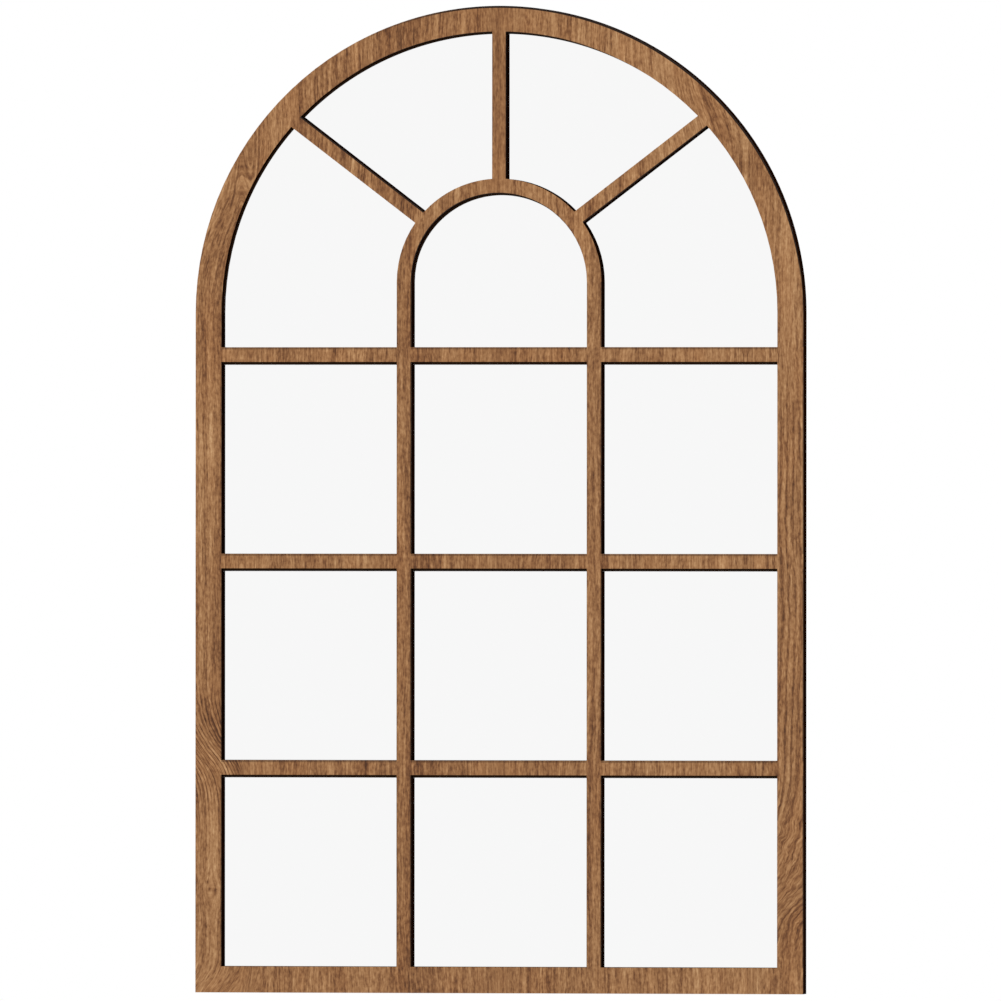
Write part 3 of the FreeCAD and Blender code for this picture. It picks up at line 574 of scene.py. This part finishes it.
def make_plated_metal(name, dark, light, roughness, brushed_mm):
    """Plated steel: brushed lines, a little tarnish and handling scratches."""
    material, tree, shader = new_finish(name)
    x, y, z = place_in_mm(tree)
    lines = noise(tree, point(tree, x / brushed_mm, y / brushed_mm, z / (brushed_mm * 14)),
                  detail=3)
    marks = use_group(tree, wear_group, point(tree, x, y, z), Size=5)
    tarnish = marks["Smudge"].rise(-0.1, 0.7)
    plate = tones(tree, lines * 0.35 + marks["Smudge"] * 0.2 + 0.55, {0.1: dark, 0.9: light})
    plate = blend(tree, tarnish * 0.3, plate, dark)
    fill(tree, shader.inputs["Base Color"], plate)
    fill(tree, shader.inputs["Metallic"], tarnish * -0.15 + 1)
    fill(tree, shader.inputs["Roughness"], tarnish * 0.15 + marks["Scratch"] * 0.1 + roughness)
    relief(tree, shader, lines * 0.4 - marks["Scratch"] * 0.6, 0.01)
    return material


def make_rubber():
    """Dark moulded rubber with a faint bloom and moulding grain."""
    material, tree, shader = new_finish("moulded_rubber", Specular_IOR_Level=0.3)
    x, y, z = place_in_mm(tree)
    marks = use_group(tree, wear_group, point(tree, x, y, z), Size=4)
    pebble = noise(tree, point(tree, x / 0.5, y / 0.5, z / 0.5), detail=2)
    fill(tree, shader.inputs["Base Color"],
         tones(tree, marks["Smudge"] * 0.4 + pebble * 0.2 + 0.4, {0.2: shade(30, 30, 31),
                                                                 0.9: shade(66, 65, 63)}))
    fill(tree, shader.inputs["Roughness"], marks["Smudge"] * 0.08 + 0.72)
    relief(tree, shader, pebble * 0.5 + 0.5, 0.04)
    return material


def make_finishes():
    """One material for each of the record's material slots."""
    return {
        "walnut_veneer": make_walnut(),
        "painted_core": make_painted_core(),
        "mirror": make_mirror(),
        "beech": make_plain_wood("sanded_beech", shade(176, 134, 94), shade(214, 178, 138)),
        "card": make_pressed_board("grey_card", shade(112, 106, 98), shade(142, 136, 126),
                                   shade(168, 162, 150), 1.6, 0.85),
        "fibreboard": make_pressed_board("fibreboard", shade(112, 84, 58), shade(148, 116, 84),
                                         shade(178, 148, 114), 1.1, 0.7),
        "rubber": make_rubber(),
        "plated_steel": make_plated_metal("bright_zinc_plate", shade(150, 148, 140),
                                          shade(208, 207, 202), 0.24, 0.5),
        "zinc_plate": make_plated_metal("dull_zinc_plate", shade(128, 130, 132),
                                        shade(186, 188, 190), 0.4, 0.35),
        "nickel_wire": make_plated_metal("nickel_plate", shade(148, 143, 134),
                                         shade(216, 212, 204), 0.16, 0.8),
    }


finishes = make_finishes()
slot_of = {part["node"]: part["material_slot"] for part in frame["record"]["subparts"]}
for name, thing in frame["nodes"].items():
    thing.data.materials.clear()
    thing.data.materials.append(finishes[slot_of[name]])


# Fittings with eased edges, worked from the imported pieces

BODY_OF = {node: body for body, nodes in frame["record"]["behaviour"]["bodies"].items()
           for node in nodes}
SHARP = math.radians(32)
WELD = 0.002 * MM
FLAT = math.radians(0.5)


def ease(node, width_mm, segments):
    """Replace a node with a copy of it whose sharp edges are rounded over by width_mm."""
    source = frame["nodes"][node]
    shape = bmesh.new()
    shape.from_mesh(source.data)
    bmesh.ops.remove_doubles(shape, verts=shape.verts, dist=WELD)
    bmesh.ops.dissolve_limit(shape, angle_limit=FLAT, verts=shape.verts, edges=shape.edges)
    sharp = [edge for edge in shape.edges
             if len(edge.link_faces) == 2 and edge.calc_face_angle(0) > SHARP]
    bmesh.ops.bevel(shape, geom=sharp, offset=width_mm * MM, offset_type="OFFSET",
                    segments=segments, profile=0.5, affect="EDGES", clamp_overlap=True,
                    material=-1)
    mesh = bpy.data.meshes.new(f"{node}_eased")
    shape.to_mesh(mesh)
    shape.free()
    mesh.materials.append(finishes[slot_of[node]])
    mesh.shade_smooth()
    mesh.set_sharp_from_angle(angle=SHARP)
    piece = bpy.data.objects.new(f"{node}_eased", mesh)
    scene.collection.objects.link(piece)
    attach(piece, BODY_OF[node])
    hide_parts(node)


def make_fittings():
    for node in frame["nodes"]:
        for start, (width_mm, segments) in EASING.items():
            if node.startswith(start):
                ease(node, width_mm, segments)


make_fittings()


# Studio: pale floor, soft lamps and the photograph's camera

def make_floor():
    bpy.ops.mesh.primitive_plane_add(size=2 * FLOOR_REACH, location=(0, 0, FLOOR_HEIGHT))
    floor = bpy.context.object
    floor.name = "studio_floor"
    material, tree, shader = new_finish("pale_floor", Roughness=0.9, Specular_IOR_Level=0.1)
    x, y, _ = place_in_mm(tree)
    cloud = noise(tree, point(tree, x / 900, y / 900, 0), detail=3)
    fill(tree, shader.inputs["Base Color"],
         tones(tree, cloud * 0.5 + 0.5, {0.2: (0.86, 0.86, 0.855, 1), 0.8: (0.9, 0.9, 0.895, 1)}))
    floor.data.materials.append(material)


def make_world():
    world = bpy.data.worlds.new("studio")
    scene.world = world
    world.use_nodes = True
    tree = world.node_tree
    path = add(tree, "ShaderNodeLightPath")
    seen = Field(tree, path.outputs["Is Camera Ray"])
    for kind in ("Is Glossy Ray", "Is Transmission Ray"):
        seen = seen.math("MAXIMUM", path.outputs[kind])
    background = tree.nodes["Background"]
    background.inputs["Color"].default_value = (1, 1, 1, 1)
    fill(tree, background.inputs["Strength"], seen * (1 - ROOM_LIGHT) + ROOM_LIGHT)


def make_lamp(name, place, power):
    """A round soft lamp aimed at the middle of the mirror."""
    lamp = bpy.data.lights.new(name, "AREA")
    lamp.shape = "DISK"
    lamp.size = LAMP_SIZE
    lamp.energy = power
    thing = bpy.data.objects.new(name, lamp)
    thing.location = place
    thing.rotation_mode = "QUATERNION"
    aim = (cad_low + cad_high) / 2
    thing.rotation_quaternion = (aim - Vector(place)).to_track_quat("-Z", "Y")
    thing.visible_glossy = False
    scene.collection.objects.link(thing)


def make_camera():
    lens = bpy.data.cameras.new("camera")
    lens.lens = LENS
    lens.sensor_width = SENSOR
    turn, rise = math.radians(VIEW_AZIMUTH), math.radians(VIEW_ELEVATION)
    back = Vector((math.sin(turn) * math.cos(rise), -math.cos(turn) * math.cos(rise),
                   math.sin(rise)))
    distance = PHOTO_SIDE / PHOTO_SCALE * MM * LENS / SENSOR
    lens.clip_end = 3 * distance
    camera = bpy.data.objects.new("camera", lens)
    camera.location = VIEW_CENTRE + back * distance
    camera.rotation_mode = "QUATERNION"
    roll = Quaternion((0, 0, 1), math.radians(VIEW_ROLL))
    camera.rotation_quaternion = (-back).to_track_quat("-Z", "Y") @ roll
    scene.collection.objects.link(camera)
    scene.camera = camera


make_floor()
make_world()
for lamp in LAMPS:
    make_lamp(*lamp)
make_camera()
